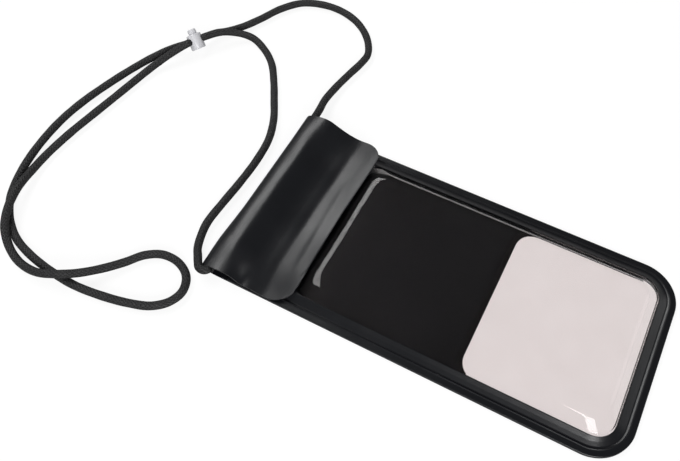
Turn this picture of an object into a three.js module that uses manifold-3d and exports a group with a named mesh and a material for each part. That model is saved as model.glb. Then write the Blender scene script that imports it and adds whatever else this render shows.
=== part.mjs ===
// Waterproof pouch with a fold-over closure and a neck cord, closed and lying on its back.
// Lengths are in millimetres. +X runs across the pouch, +Y towards the closure, +Z up.
// The origin is the middle of the pouch's footprint, on the surface that it lies on.
import * as THREE from 'three';
import { mergeVertices } from 'three/addons/utils/BufferGeometryUtils.js';
import Module from 'manifold-3d';

const wasm = await Module();
wasm.setup();

// Fits
const gap = 0.3;

// Overall size of the closed pouch
const pouchWidth = 107.4;
const pouchLength = 220;
const bottomCornerRadius = 20;

// Rear panel: one black sheet that runs along the back, round the roll and on as the flap
const panelThickness = 0.7;
const rollRadius = 6.2;
const flapReach = 49.2;
const flapCornerRadius = 12;
const flapEdgeHeight = 8.7;
const flapValleyHeight = 7.6;
const flapSideStart = 39;
const flapLeftDroop = 3.6;
const flapRightLift = 2.3;
const flapSideRun = 12;
const flapLiftRun = 26;

// Front frame: black moulded sheet with a flat weld band, a raised weld bead and a bevel
const frameThickness = 0.9;
const weldBandWidth = 4.4;
const weldBeadHeight = 0.25;
const weldBeadWidth = 0.9;
const frameRise = 2.3;
const mouthSetback = 6.8;

// Front window: clear moulded film that rises through the frame and holds the pocket open
const sideBorder = 9;
const bottomBorder = 9.1;
const mouthBandWidth = 31;
const windowCornerRadius = 10;
const frontFilmThickness = 0.5;
const frontFilmFlange = 1.6;
const pocketDepth = 8;
const rampWidth = 7;
const mouthRampWidth = 11.5;

// Rear window: clear film welded inside over a hole in the rear panel
const rearFilmThickness = 0.4;
const rearFilmLap = 3;
const rearWindowLength = 74.1;

// Press seals: ribs on the front wall that snap into channels on the rear wall
const sealCount = 3;
const sealPitch = 7;
const sealSetback = 10;
const sealEndClearance = 0.6;
const sealWidth = 3;
const sealBase = 0.4;
const channelWall = 0.55;
const ribWidth = 1.2;

// Hook and loop strips between the front wall and the flap
const stripWidth = 12;
const stripSideClearance = 1.5;
const stripThickness = 0.9;
const stripSetback = 21;

// Cord
const cordDiameter = 4.5;
const cordSides = 10;
const clampedWidth = 3.4;
const clampedHeight = 3;

// Cord lock: round barrel, sprung button, and where it leans on the surface
const barrelRadius = 4.6;
const barrelLength = 9.4;
const barrelWall = 1.35;
const barrelFloor = 0.8;
const barrelRim = 0.9;
const barrelEdge = 0.7;
const buttonRadius = 2.6;
const buttonProud = 3.2;
const buttonTravel = 1.4;
const plungerFoot = 0.8;
const slotCorner = 1;
const clampHeightInBarrel = 4;
const springWire = 0.4;
const springTurns = 2;
const lockPlace = new THREE.Vector3(77.6, 203.4, 6.9);
const lockHeading = 58;
const lockTilt = 46;

// Fineness of the round forms
const cornerSteps = 7;
const rollSteps = 16;
const flapSteps = 12;
const latheSteps = 28;

// Places that follow from the sizes above
const halfWidth = pouchWidth / 2;
const bottomY = -pouchLength / 2;
const rollY = pouchLength / 2 - rollRadius;
const mouthY = rollY - mouthSetback;
const windowHalfWidth = halfWidth - sideBorder;
const windowLowY = bottomY + bottomBorder;
const windowHighY = mouthY - mouthBandWidth;
const sealHalfLength = halfWidth - bottomBorder - sealEndClearance;
const stripHalfLength = flapSideStart - stripSideClearance;
const frameUnderside = panelThickness + gap;
const bandUnderside = frameUnderside + frameRise;
const bandTop = bandUnderside + frameThickness;
const rearFilmUnderside = panelThickness + gap;
const rearFilmTop = rearFilmUnderside + rearFilmThickness;
const frontFilmTop = rearFilmTop + pocketDepth + frontFilmThickness;

// Materials
const blackFilm = new THREE.MeshStandardMaterial({ color: 0x222326, roughness: 0.42, metalness: 0 });
const clearFilm = new THREE.MeshStandardMaterial({
  color: 0xd9dcdf, roughness: 0.12, metalness: 0, transparent: true, opacity: 0.35,
});
const sealPlastic = new THREE.MeshStandardMaterial({ color: 0x2a2b2e, roughness: 0.5, metalness: 0 });
const stripFabric = new THREE.MeshStandardMaterial({ color: 0x1b1b1d, roughness: 0.95, metalness: 0 });
const cordFabric = new THREE.MeshStandardMaterial({ color: 0x232324, roughness: 0.85, metalness: 0 });
const lockPlastic = new THREE.MeshStandardMaterial({ color: 0xdedfe2, roughness: 0.35, metalness: 0 });
const springSteel = new THREE.MeshStandardMaterial({ color: 0xb8babd, roughness: 0.3, metalness: 1 });

const part = new THREE.Group();

function addPiece(name, geometry, material, parent = part) {
  const mesh = new THREE.Mesh(geometry, material);
  mesh.name = name;
  parent.add(mesh);
  return mesh;
}

// Booleans on closed geometries
function toSolid(geometry) {
  const bare = geometry.index ? geometry.toNonIndexed() : geometry.clone();
  bare.deleteAttribute('normal');
  bare.deleteAttribute('uv');
  const merged = mergeVertices(bare, 1e-5);
  return new wasm.Manifold(new wasm.Mesh({
    numProp: 3,
    vertProperties: new Float32Array(merged.attributes.position.array),
    triVerts: new Uint32Array(merged.index.array),
  }));
}

function toGeometry(solid) {
  const mesh = solid.getMesh();
  const geometry = new THREE.BufferGeometry();
  geometry.setAttribute('position', new THREE.BufferAttribute(new Float32Array(mesh.vertProperties), 3));
  geometry.setIndex(new THREE.BufferAttribute(new Uint32Array(mesh.triVerts), 1));
  return geometry;
}

function cut(geometry, ...tools) {
  return toGeometry(tools.reduce((solid, tool) => solid.subtract(toSolid(tool)), toSolid(geometry)));
}

function join(geometry, ...others) {
  return toGeometry(others.reduce((solid, other) => solid.add(toSolid(other)), toSolid(geometry)));
}

// A closed skin over rows of points: every row has the same count, and the skin closes around
// each row and, with closeEnds, ends in a flat fan on the first and the last row.
function skinRows(rows, closeRound, closeEnds) {
  const count = rows[0].length;
  const positions = rows.flat().flatMap((p) => [p.x, p.y, p.z]);
  const index = [];
  const lastRow = closeRound ? rows.length : rows.length - 1;
  for (let i = 0; i < lastRow; i += 1) {
    const here = i * count;
    const next = ((i + 1) % rows.length) * count;
    for (let j = 0; j < count; j += 1) {
      const k = (j + 1) % count;
      index.push(here + j, here + k, next + k, here + j, next + k, next + j);
    }
  }
  if (closeEnds) {
    [[rows[0], 0, false], [rows[rows.length - 1], (rows.length - 1) * count, true]].forEach(
      ([row, start, upward]) => {
        const middle = row.reduce((sum, p) => sum.add(p), new THREE.Vector3()).divideScalar(count);
        const centre = positions.length / 3;
        positions.push(middle.x, middle.y, middle.z);
        for (let j = 0; j < count; j += 1) {
          const k = (j + 1) % count;
          index.push(centre, ...(upward ? [start + j, start + k] : [start + k, start + j]));
        }
      },
    );
  }
  const geometry = new THREE.BufferGeometry();
  geometry.setAttribute('position', new THREE.Float32BufferAttribute(positions, 3));
  geometry.setIndex(index);
  return geometry;
}

// Rounded rectangle at a height, as points that run anticlockwise from its low right corner
function roundedRing(half, lowY, highY, lowRadius, highRadius, z) {
  const corners = [
    [half - lowRadius, lowY + lowRadius, lowRadius, -90],
    [half - highRadius, highY - highRadius, highRadius, 0],
    [highRadius - half, highY - highRadius, highRadius, 90],
    [lowRadius - half, lowY + lowRadius, lowRadius, 180],
  ];
  return corners.flatMap(([x, y, radius, start]) =>
    Array.from({ length: cornerSteps + 1 }, (_, i) => {
      const angle = THREE.MathUtils.degToRad(start + (90 * i) / cornerSteps);
      return new THREE.Vector3(x + radius * Math.cos(angle), y + radius * Math.sin(angle), z);
    }));
}

function roundedPrism(half, lowY, highY, radius, lowZ, highZ) {
  return skinRows([
    roundedRing(half, lowY, highY, radius, radius, lowZ),
    roundedRing(half, lowY, highY, radius, radius, highZ),
  ], false, true);
}

function boxFrom(lowX, highX, lowY, highY, lowZ, highZ) {
  const box = new THREE.BoxGeometry(highX - lowX, highY - lowY, highZ - lowZ);
  return box.translate((lowX + highX) / 2, (lowY + highY) / 2, (lowZ + highZ) / 2);
}

// Rear panel. The fold line gives the outer side of the sheet as y and z along its length.
function foldLine() {
  const flapEndY = pouchLength / 2 - flapReach;
  const valleyY = mouthY - stripSetback;
  const line = [];
  for (let i = 0; i <= cornerSteps; i += 1) {
    const angle = (Math.PI / 2) * (i / cornerSteps);
    line.push([bottomY + bottomCornerRadius * (1 - Math.cos(angle)), 0]);
  }
  line.push([0, 0], [mouthY, 0]);
  for (let i = 0; i <= rollSteps; i += 1) {
    const angle = -Math.PI / 2 + Math.PI * (i / rollSteps);
    line.push([rollY + rollRadius * Math.cos(angle), rollRadius + rollRadius * Math.sin(angle)]);
  }
  const rollTop = 2 * rollRadius;
  const fall = rollTop - flapValleyHeight;
  const slopeLength = rollY - (valleyY + stripWidth / 2);
  const shape = new THREE.CatmullRomCurve3([
    new THREE.Vector3(0, rollY, rollTop),
    new THREE.Vector3(0, rollY - 0.25 * slopeLength, rollTop - 0.1 * fall),
    new THREE.Vector3(0, rollY - 0.52 * slopeLength, rollTop - 0.46 * fall),
    new THREE.Vector3(0, rollY - 0.8 * slopeLength, rollTop - 0.86 * fall),
    new THREE.Vector3(0, valleyY + stripWidth / 2, flapValleyHeight),
    new THREE.Vector3(0, valleyY - stripWidth / 2, flapValleyHeight),
    new THREE.Vector3(0, flapEndY, flapEdgeHeight),
  ]);
  const fine = shape.getPoints(20 * flapSteps);
  const heightAt = (y) => {
    const i = Math.max(fine.findIndex((p) => p.y <= y), 1);
    const share = (fine[i - 1].y - y) / (fine[i - 1].y - fine[i].y);
    return fine[i - 1].z + share * (fine[i].z - fine[i - 1].z);
  };
  const cornerY = flapEndY + flapCornerRadius;
  for (let i = 1; i <= flapSteps; i += 1) {
    const y = rollY + (cornerY - rollY) * (i / flapSteps);
    line.push([y, heightAt(y)]);
  }
  for (let i = 1; i <= cornerSteps; i += 1) {
    const y = cornerY - flapCornerRadius * Math.sin((Math.PI / 2) * (i / cornerSteps));
    line.push([y, i === cornerSteps ? flapEdgeHeight : heightAt(y)]);
  }
  return line;
}

function smooth(value) {
  const t = THREE.MathUtils.clamp(value, 0, 1);
  return t * t * (3 - 2 * t);
}

// Half the sheet's width at each place, narrowed by the round corners at its two ends
function panelHalfWidth(y, onFlap) {
  const endY = onFlap ? pouchLength / 2 - flapReach : bottomY;
  const radius = onFlap ? flapCornerRadius : bottomCornerRadius;
  const into = Math.min(y - endY, radius);
  return halfWidth - radius + Math.sqrt(Math.max(radius ** 2 - (radius - into) ** 2, 0));
}

// How far the flap's left side hangs, and its right side stands up, from its middle
function panelDroop(x, y, onFlap) {
  if (!onFlap) {
    return 0;
  }
  const side = smooth((Math.abs(x) - flapSideStart) / (halfWidth - flapSideStart));
  const run = side * smooth((rollY - y) / flapSideRun);
  const flapEndY = pouchLength / 2 - flapReach;
  const lift = flapRightLift * smooth((y - flapEndY) / flapLiftRun);
  return x < 0 ? flapLeftDroop * run : -lift * run;
}

function makeRearPanel() {
  const line = foldLine();
  const flapStart = line.length - flapSteps - cornerSteps;
  const spread = [0, 0.3, 0.6, 0.85, 1];
  const row = (i, depth) => {
    const before = line[Math.max(i - 1, 0)];
    const after = line[Math.min(i + 1, line.length - 1)];
    const run = new THREE.Vector2(after[0] - before[0], after[1] - before[1]).normalize();
    const onFlap = i >= flapStart;
    const half = panelHalfWidth(line[i][0], onFlap);
    const inner = Math.min(flapSideStart, 0.9 * half);
    const right = spread.map((u) => inner + u * (half - inner));
    return [...right.map((x) => -x).reverse(), ...right].map((x) => new THREE.Vector3(
      x,
      line[i][0] - run.y * depth,
      line[i][1] + run.x * depth - panelDroop(x, line[i][0], onFlap),
    ));
  };
  const rows = line.map((_, i) => [...row(i, 0).reverse(), ...row(i, panelThickness)]);
  const sheet = skinRows(rows, false, true);
  const hole = roundedPrism(
    windowHalfWidth, windowLowY, windowLowY + rearWindowLength, windowCornerRadius,
    -panelThickness, 2 * panelThickness,
  );
  return cut(sheet, hole);
}

// Front frame. Each pair is the distance in from the outline and the rise of the upper side.
function makeFrontFrame() {
  const beadMiddle = weldBandWidth - weldBeadWidth;
  const upper = [
    [0, 0],
    [beadMiddle - weldBeadWidth / 2, 0],
    [beadMiddle, weldBeadHeight],
    [beadMiddle + weldBeadWidth / 2, 0],
    [weldBandWidth, 0],
    [bottomBorder, frameRise],
  ];
  const lower = [[bottomBorder, frameRise], [weldBandWidth, 0], [0, 0]];
  const overrun = 2 * bottomCornerRadius;
  const ring = ([inset, rise], lift) => roundedRing(
    halfWidth - inset, bottomY + inset, mouthY + overrun - inset,
    bottomCornerRadius - inset, bottomCornerRadius - inset, frameUnderside + lift + rise,
  );
  const rows = [
    ...lower.map((pair) => ring(pair, 0)),
    ...upper.map((pair) => ring(pair, frameThickness)),
  ];
  const tray = skinRows(rows, false, true);
  const highest = bandTop + 1;
  const beyondMouth = boxFrom(-pouchWidth, pouchWidth, mouthY, mouthY + 2 * overrun, -1, highest);
  const hole = roundedPrism(
    windowHalfWidth, windowLowY, windowHighY, windowCornerRadius, -1, highest,
  );
  return cut(tray, beyondMouth, hole);
}

// Front window. Each pair is the distance in from the frame's hole and the upper side's height.
function makeFrontWindow() {
  const edge = bandUnderside - gap;
  const upper = [
    [-frontFilmFlange, edge - 0.8],
    [0, edge],
    [0.55, bandTop],
    [0.5 * rampWidth, bandTop + 0.5 * (frontFilmTop - bandTop)],
    [0.86 * rampWidth, frontFilmTop - 0.25],
    [rampWidth, frontFilmTop],
  ];
  const lower = upper.map(([inset, height], i) => {
    const before = upper[Math.max(i - 1, 0)];
    const after = upper[Math.min(i + 1, upper.length - 1)];
    const run = new THREE.Vector2(after[0] - before[0], after[1] - before[1]).normalize();
    const last = i === upper.length - 1;
    return last
      ? [inset, height - frontFilmThickness]
      : [inset + run.y * frontFilmThickness, height - run.x * frontFilmThickness];
  });
  const ring = ([inset, height]) => {
    const mouthInset = inset > 0 ? inset * (mouthRampWidth / rampWidth) : inset;
    const radius = windowCornerRadius - Math.min(inset, 0);
    return roundedRing(
      windowHalfWidth - inset, windowLowY + inset, windowHighY - mouthInset, radius, radius, height,
    );
  };
  return skinRows([...lower.reverse().map(ring), ...upper.map(ring)], false, true);
}

function makeRearWindow() {
  return roundedPrism(
    windowHalfWidth + rearFilmLap, windowLowY - rearFilmLap,
    windowLowY + rearWindowLength + rearFilmLap, windowCornerRadius + rearFilmLap,
    rearFilmUnderside, rearFilmTop,
  );
}

// Press seals, each a channel on the rear wall and a rib on the front wall
function makeSeal(y) {
  const channelBottom = panelThickness + gap;
  const ribBaseTop = bandUnderside - gap;
  const ribBaseBottom = ribBaseTop - sealBase;
  const half = sealWidth / 2;
  const channel = cut(
    boxFrom(-sealHalfLength, sealHalfLength, y - half, y + half, channelBottom, ribBaseBottom - gap),
    boxFrom(
      -pouchWidth, pouchWidth, y - half + channelWall, y + half - channelWall,
      channelBottom + sealBase, ribBaseTop,
    ),
  );
  const rib = join(
    boxFrom(-sealHalfLength, sealHalfLength, y - half, y + half, ribBaseBottom, ribBaseTop),
    boxFrom(
      -sealHalfLength, sealHalfLength, y - ribWidth / 2, y + ribWidth / 2,
      channelBottom + sealBase + gap, ribBaseBottom + sealBase / 2,
    ),
  );
  return { channel, rib };
}

function makeStrip(lowZ) {
  const middle = mouthY - stripSetback;
  return boxFrom(
    -stripHalfLength, stripHalfLength, middle - stripWidth / 2, middle + stripWidth / 2,
    lowZ, lowZ + stripThickness,
  );
}

// Cord. Its rest height on the surface, its place in the roll, and its tubes.
const cordRadius = cordDiameter / 2;
const exitY = rollY + rollRadius - panelThickness - gap - cordRadius;
const exitZ = rollRadius;

// A smooth curve whose stations are the points themselves, closer together where it bends
class StationCurve extends THREE.CatmullRomCurve3 {
  getPointAt(share, target) {
    return this.getPoint(share, target);
  }

  getTangentAt(share, target) {
    return this.getTangent(share, target);
  }
}

function makeTube(points) {
  const section = new THREE.Shape(Array.from({ length: cordSides }, (_, i) => {
    const angle = (2 * Math.PI * i) / cordSides;
    return new THREE.Vector2(cordRadius * Math.cos(angle), cordRadius * Math.sin(angle));
  }));
  const extrudePath = new StationCurve(points, false, 'centripetal');
  return new THREE.ExtrudeGeometry(section, {
    steps: points.length - 1, extrudePath, bevelEnabled: false,
  });
}

function route(list) {
  return list.map(([x, y, z]) => new THREE.Vector3(x, y, z));
}

// Cord lock frame: local Z is the barrel's axis, local X is the way that the cord runs through
const heading = THREE.MathUtils.degToRad(lockHeading);
const tilt = THREE.MathUtils.degToRad(lockTilt);
const alongCord = new THREE.Vector3(Math.sin(heading), -Math.cos(heading), 0);
const alongBarrel = new THREE.Vector3(
  Math.cos(heading) * Math.cos(tilt), Math.sin(heading) * Math.cos(tilt), Math.sin(tilt),
);
const acrossLock = new THREE.Vector3().crossVectors(alongBarrel, alongCord);
const clampMiddle = clampHeightInBarrel + clampedHeight / 2;

// The two strands pass the lock side by side; this is where each meets its face
function lockMouth(side, strand, beyond = 0) {
  return lockPlace.clone()
    .addScaledVector(alongCord, side * (barrelRadius + gap + beyond))
    .addScaledVector(acrossLock, (strand * (cordDiameter + gap)) / 2);
}

const lock = new THREE.Group();
lock.position.copy(lockPlace).addScaledVector(alongBarrel, -clampMiddle);
lock.quaternion.setFromRotationMatrix(
  new THREE.Matrix4().makeBasis(alongCord, acrossLock, alongBarrel),
);
part.add(lock);

function turned(profile) {
  const points = profile.map(([radius, height]) => new THREE.Vector2(radius, height));
  return new THREE.LatheGeometry(points, latheSteps).rotateX(Math.PI / 2);
}

// A rounded rectangle in local Y and Z, drawn out along local X
function crossBar(width, lowZ, highZ, corner, length) {
  const ring = (x) => {
    const flat = roundedRing(width / 2, lowZ, highZ, corner, corner, 0);
    return flat.map((p) => new THREE.Vector3(x, p.x, p.y));
  };
  return skinRows([ring(-length / 2), ring(length / 2)], false, true);
}

const boreRadius = barrelRadius - barrelWall;
const plungerRadius = boreRadius - gap;
const slotWidth = clampedWidth + 2 * gap;
const plungerBottom = clampHeightInBarrel - gap - plungerFoot;

function makeBarrel() {
  const rimHole = buttonRadius + gap;
  const body = turned([
    [0, 0],
    [barrelRadius - barrelEdge, 0],
    [barrelRadius, barrelEdge],
    [barrelRadius, barrelLength - barrelEdge],
    [barrelRadius - barrelEdge, barrelLength],
    [rimHole, barrelLength],
    [rimHole, barrelLength - barrelRim],
    [boreRadius, barrelLength - barrelRim],
    [boreRadius, barrelFloor],
    [0, barrelFloor],
  ]);
  const slot = crossBar(
    slotWidth, clampHeightInBarrel - gap, clampHeightInBarrel + clampedHeight + gap,
    slotCorner, 3 * barrelRadius,
  );
  return cut(body, slot);
}

function makeButton() {
  const shoulder = barrelLength - barrelRim - gap;
  const top = barrelLength + buttonProud;
  const body = turned([
    [0, plungerBottom],
    [plungerRadius, plungerBottom],
    [plungerRadius, shoulder],
    [buttonRadius, shoulder],
    [buttonRadius, top - barrelEdge],
    [buttonRadius - barrelEdge, top],
    [0, top],
  ]);
  const slot = crossBar(
    slotWidth, clampHeightInBarrel - gap, clampHeightInBarrel + clampedHeight + gap + buttonTravel,
    slotCorner, 3 * barrelRadius,
  );
  return cut(body, slot);
}

function makeSpring() {
  const lowZ = barrelFloor + gap + springWire / 2;
  const highZ = plungerBottom - gap - springWire / 2;
  const radius = boreRadius - 2 * gap - springWire / 2;
  const stepsPerTurn = 20;
  const steps = springTurns * stepsPerTurn;
  const points = Array.from({ length: steps + 1 }, (_, i) => {
    const angle = (2 * Math.PI * i) / stepsPerTurn;
    return new THREE.Vector3(
      radius * Math.cos(angle), radius * Math.sin(angle), lowZ + ((highZ - lowZ) * i) / steps,
    );
  });
  const wire = new THREE.Shape(Array.from({ length: 6 }, (_, i) => {
    const angle = (Math.PI * i) / 3;
    return new THREE.Vector2((springWire / 2) * Math.cos(angle), (springWire / 2) * Math.sin(angle));
  }));
  const extrudePath = new THREE.CatmullRomCurve3(points);
  return new THREE.ExtrudeGeometry(wire, { steps, extrudePath, bevelEnabled: false });
}

// The pouch
addPiece('rear_panel', makeRearPanel(), blackFilm);
addPiece('rear_window', makeRearWindow(), clearFilm);
addPiece('front_frame', makeFrontFrame(), blackFilm);
addPiece('front_window', makeFrontWindow(), clearFilm);
for (let i = 0; i < sealCount; i += 1) {
  const seal = makeSeal(mouthY - sealSetback - i * sealPitch);
  addPiece(`seal_channel_${i + 1}`, seal.channel, sealPlastic);
  addPiece(`seal_rib_${i + 1}`, seal.rib, sealPlastic);
}
addPiece('hook_strip', makeStrip(bandTop + gap), stripFabric);
addPiece('loop_strip', makeStrip(flapValleyHeight - panelThickness - gap - stripThickness), stripFabric);

// The neck cord: from the roll's right end to the lock, out round the loop, back to the lock
// and into the roll's left end
const rest = cordRadius + 0.2;
const straight = 0.8;
const rollExit = (side, beyond = 0) => (
  new THREE.Vector3(side * (halfWidth + gap + beyond), exitY, exitZ)
);
const rightRoute = route([
  [64, 107.4, 5.4], [74, 108.9, 3.9], [86.5, 108.3, 2.8], [100, 106.2, rest], [111, 104, rest],
  [119.5, 103.6, rest], [128.5, 107.8, rest], [136.5, 114.8, rest], [143.2, 125, rest],
  [146.8, 138, rest], [146.2, 151, rest], [141.5, 163, rest], [130.6, 172.7, rest],
  [116.4, 179.8, rest], [105.4, 186.2, rest], [97.2, 192.5, 2.9], [91, 197.7, 3.9],
]);
const loopRoute = route([
  [66, 216.2, 3.5], [56, 222.6, rest], [41.3, 228.5, rest], [25.7, 233.6, rest],
  [8.9, 238.1, rest], [-8, 240.7, rest], [-25, 240.8, rest], [-40.9, 238.9, rest], [-55, 235.2, rest],
  [-67.5, 229.4, rest], [-77.4, 220.9, rest], [-84.8, 210, rest], [-89.2, 197, rest],
  [-91.9, 180.7, rest], [-92.8, 164.6, rest], [-91.2, 148.6, rest], [-88, 133.1, rest],
  [-83.9, 122, rest], [-77.6, 115.2, rest], [-70, 112.8, rest], [-62, 116, rest],
  [-57.2, 124, rest], [-57, 134, rest], [-61.7, 142.4, rest], [-70.1, 149.2, 2.6],
  [-79.2, 156.6, 4.2], [-87.9, 165, 6.6], [-93.9, 174.6, 7.3], [-96.7, 185.7, 5], [-95.6, 198, 3.9],
  [-90.8, 208.6, 4.7], [-82.8, 217.3, 6.9], [-72.3, 223.4, 7.5], [-60.5, 228.2, 6],
  [-47, 231, 3.6], [-33, 231.8, rest], [-16, 230, rest], [2, 226.8, rest], [20, 223.4, rest],
  [37, 220.3, rest], [51.3, 216.6, 3.4], [62.4, 210.9, 6.2],
]);
const leftRoute = route([
  [89.8, 192.8, 7.9], [96.2, 185, 5.4], [99, 175.3, 3], [94.3, 163.8, rest],
  [86, 153.4, rest], [74, 144.6, rest], [61, 136.6, rest], [48, 129.2, rest], [34, 124.2, rest],
  [18.1, 122.5, rest], [0.2, 122.8, rest], [-15.8, 123.9, rest], [-29.8, 124.4, rest], [-38.8, 122.5, 2.55],
  [-45.6, 119.8, 3], [-49.5, 116.9, 3.8], [-53, 114.2, 4.9], [-55.8, 111.5, 5.8],
  [-56.2, 108.5, 6.2],
]);
const rightPoints = [
  rollExit(1), rollExit(1, straight), ...rightRoute, lockMouth(1, 1, straight), lockMouth(1, 1),
];
const loopPoints = [
  lockMouth(-1, 1), lockMouth(-1, 1, straight), ...loopRoute,
  lockMouth(-1, -1, straight), lockMouth(-1, -1),
];
const leftPoints = [
  lockMouth(1, -1), lockMouth(1, -1, straight), ...leftRoute,
  rollExit(-1, straight), rollExit(-1),
];
addPiece('cord_right', makeTube(rightPoints), cordFabric);
addPiece('cord_loop', makeTube(loopPoints), cordFabric);
addPiece('cord_left', makeTube(leftPoints), cordFabric);
addPiece('cord_in_roll', makeTube([
  new THREE.Vector3(-halfWidth, exitY, exitZ), new THREE.Vector3(halfWidth, exitY, exitZ),
]), cordFabric);

// The cord lock, with the squeezed pair of strands in its slot
addPiece('cord_clamped', crossBar(
  clampedWidth, clampHeightInBarrel, clampHeightInBarrel + clampedHeight, slotCorner, 2 * barrelRadius,
), cordFabric, lock);
addPiece('cord_lock_barrel', makeBarrel(), lockPlastic, lock);
addPiece('cord_lock_button', makeButton(), lockPlastic, lock);
addPiece('cord_lock_spring', makeSpring(), springSteel, lock);

export default part;
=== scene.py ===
"""Dressed scene of a waterproof pouch with a neck cord, closed and lying on its back.

Lengths are in metres in the CAD row's frame: +X across the pouch, +Y towards its closure, +Z up.
Sizes that are easier to read in millimetres are written as a number times MM.
"""

import logging
import math
from dataclasses import dataclass, field
from enum import Enum
from typing import Sequence

import bmesh
import bpy
import numpy as np
from mathutils import Matrix


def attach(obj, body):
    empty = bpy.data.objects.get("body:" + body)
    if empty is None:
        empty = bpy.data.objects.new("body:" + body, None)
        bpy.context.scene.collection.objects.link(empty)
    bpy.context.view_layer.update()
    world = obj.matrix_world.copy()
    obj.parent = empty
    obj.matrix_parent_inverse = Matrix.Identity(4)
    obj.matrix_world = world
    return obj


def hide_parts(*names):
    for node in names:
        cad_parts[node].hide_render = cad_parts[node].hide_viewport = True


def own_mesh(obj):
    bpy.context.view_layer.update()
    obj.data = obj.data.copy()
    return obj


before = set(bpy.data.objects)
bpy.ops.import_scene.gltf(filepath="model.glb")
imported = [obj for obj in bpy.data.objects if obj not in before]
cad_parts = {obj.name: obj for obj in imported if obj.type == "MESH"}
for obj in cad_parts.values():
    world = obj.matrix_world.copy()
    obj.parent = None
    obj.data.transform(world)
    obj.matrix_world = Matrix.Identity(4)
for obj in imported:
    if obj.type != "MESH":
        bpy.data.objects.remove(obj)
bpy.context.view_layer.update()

MM = 0.001
LOG = logging.getLogger("pouch")


class Body(str, Enum):
    """The rigid bodies of the CAD row."""

    POUCH = "pouch"
    BUTTON = "lock_button"


class Slot(str, Enum):
    """The names of the record's material slots."""

    BLACK_FILM = "black_film"
    CLEAR_FILM = "clear_film"
    CORD_FABRIC = "cord_fabric"
    LOCK_PLASTIC = "lock_plastic"
    SPRING_STEEL = "spring_steel"


# Curves and grids


def smooth_step(value: np.ndarray) -> np.ndarray:
    """Return 3t² − 2t³ of each value, with t clamped to 0..1."""
    t = np.clip(value, 0.0, 1.0)
    return t * t * (3.0 - 2.0 * t)


def ramp(value: np.ndarray, start: float, length: float) -> np.ndarray:
    """Return 0 up to a start, 1 from a length beyond it, and a smooth rise between."""
    return smooth_step((value - start) / length)


def centripetal_curve(points: np.ndarray, per_span: int) -> np.ndarray:
    """Sample the centripetal Catmull-Rom curve through some points.

    Each span between two points is a cubic Hermite curve. Its end tangents come from the
    neighbouring points, weighted by the square root of the distances between them. The first and
    the last neighbour are the end points mirrored outwards.

    Args:
        points: The points that the curve goes through, one per row.
        per_span: How many samples each span gives.

    Returns:
        The samples, one per row, with the last point at the end.
    """
    ends = np.vstack([2 * points[0] - points[1], points, 2 * points[-1] - points[-2]])
    p0, p1, p2, p3 = ends[:-3], ends[1:-2], ends[2:-1], ends[3:]
    d0 = np.sqrt(np.linalg.norm(p1 - p0, axis=1))[:, None]
    d1 = np.sqrt(np.linalg.norm(p2 - p1, axis=1))[:, None]
    d2 = np.sqrt(np.linalg.norm(p3 - p2, axis=1))[:, None]
    m1 = ((p1 - p0) / d0 - (p2 - p0) / (d0 + d1) + (p2 - p1) / d1) * d1
    m2 = ((p2 - p1) / d1 - (p3 - p1) / (d1 + d2) + (p3 - p2) / d2) * d1
    t = (np.arange(per_span) / per_span)[None, :, None]
    a, b, c, d = (q[:, None, :] for q in (p1, m1, p2, m2))
    curve = (
        (2 * t**3 - 3 * t**2 + 1) * a
        + (t**3 - 2 * t**2 + t) * b
        + (3 * t**2 - 2 * t**3) * c
        + (t**3 - t**2) * d
    )
    return np.vstack([curve.reshape(-1, points.shape[1]), points[-1]])


def arc_lengths(line: np.ndarray) -> np.ndarray:
    """Return the distance along a line of points from its start to each point."""
    return np.concatenate([[0.0], np.cumsum(np.linalg.norm(np.diff(line, axis=0), axis=1))])


def resample(line: np.ndarray, spacing: float) -> np.ndarray:
    """Return points at an even spacing along a line, its two ends included."""
    along = arc_lengths(line)
    count = max(int(round(along[-1] / spacing)), 2)
    stations = np.linspace(0.0, along[-1], count + 1)
    return np.column_stack([np.interp(stations, along, line[:, k]) for k in range(line.shape[1])])


def rounded_rectangle(
    half: float, low: float, high: float, radius: float, across: int, upward: int, corner: int
) -> np.ndarray:
    """Return a rounded rectangle's outline, anticlockwise from its low left straight's start.

    Args:
        half: Half of its width, along X.
        low: Its lowest Y.
        high: Its highest Y.
        radius: The radius of its four corners.
        across: Spans on its two short straights.
        upward: Spans on its two long straights.
        corner: Spans on each corner.

    Returns:
        Points (x, y), one per row, without the first repeated at the end.
    """
    u = np.linspace(-1, 1, across + 1)[:, None]
    v = np.linspace(0, 1, upward + 1)[:, None]
    turn = np.linspace(0, math.pi / 2, corner + 1)[1:-1]
    low_c, high_c, side = low + radius, high - radius, half - radius

    def arc(x: float, y: float, start: float) -> np.ndarray:
        """Return a corner's inner points about its centre."""
        return np.column_stack([x + radius * np.cos(start + turn), y + radius * np.sin(start + turn)])

    right = np.hstack([np.full_like(v, half), low_c + v * (high_c - low_c)])
    return np.vstack(
        [
            np.hstack([u * side, np.full_like(u, low)]),
            arc(side, low_c, -math.pi / 2),
            right,
            arc(side, high_c, 0.0),
            np.hstack([-u * side, np.full_like(u, high)]),
            arc(-side, high_c, math.pi / 2),
            (right * [-1, 1])[::-1],
            arc(-side, low_c, math.pi),
        ]
    )


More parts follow.
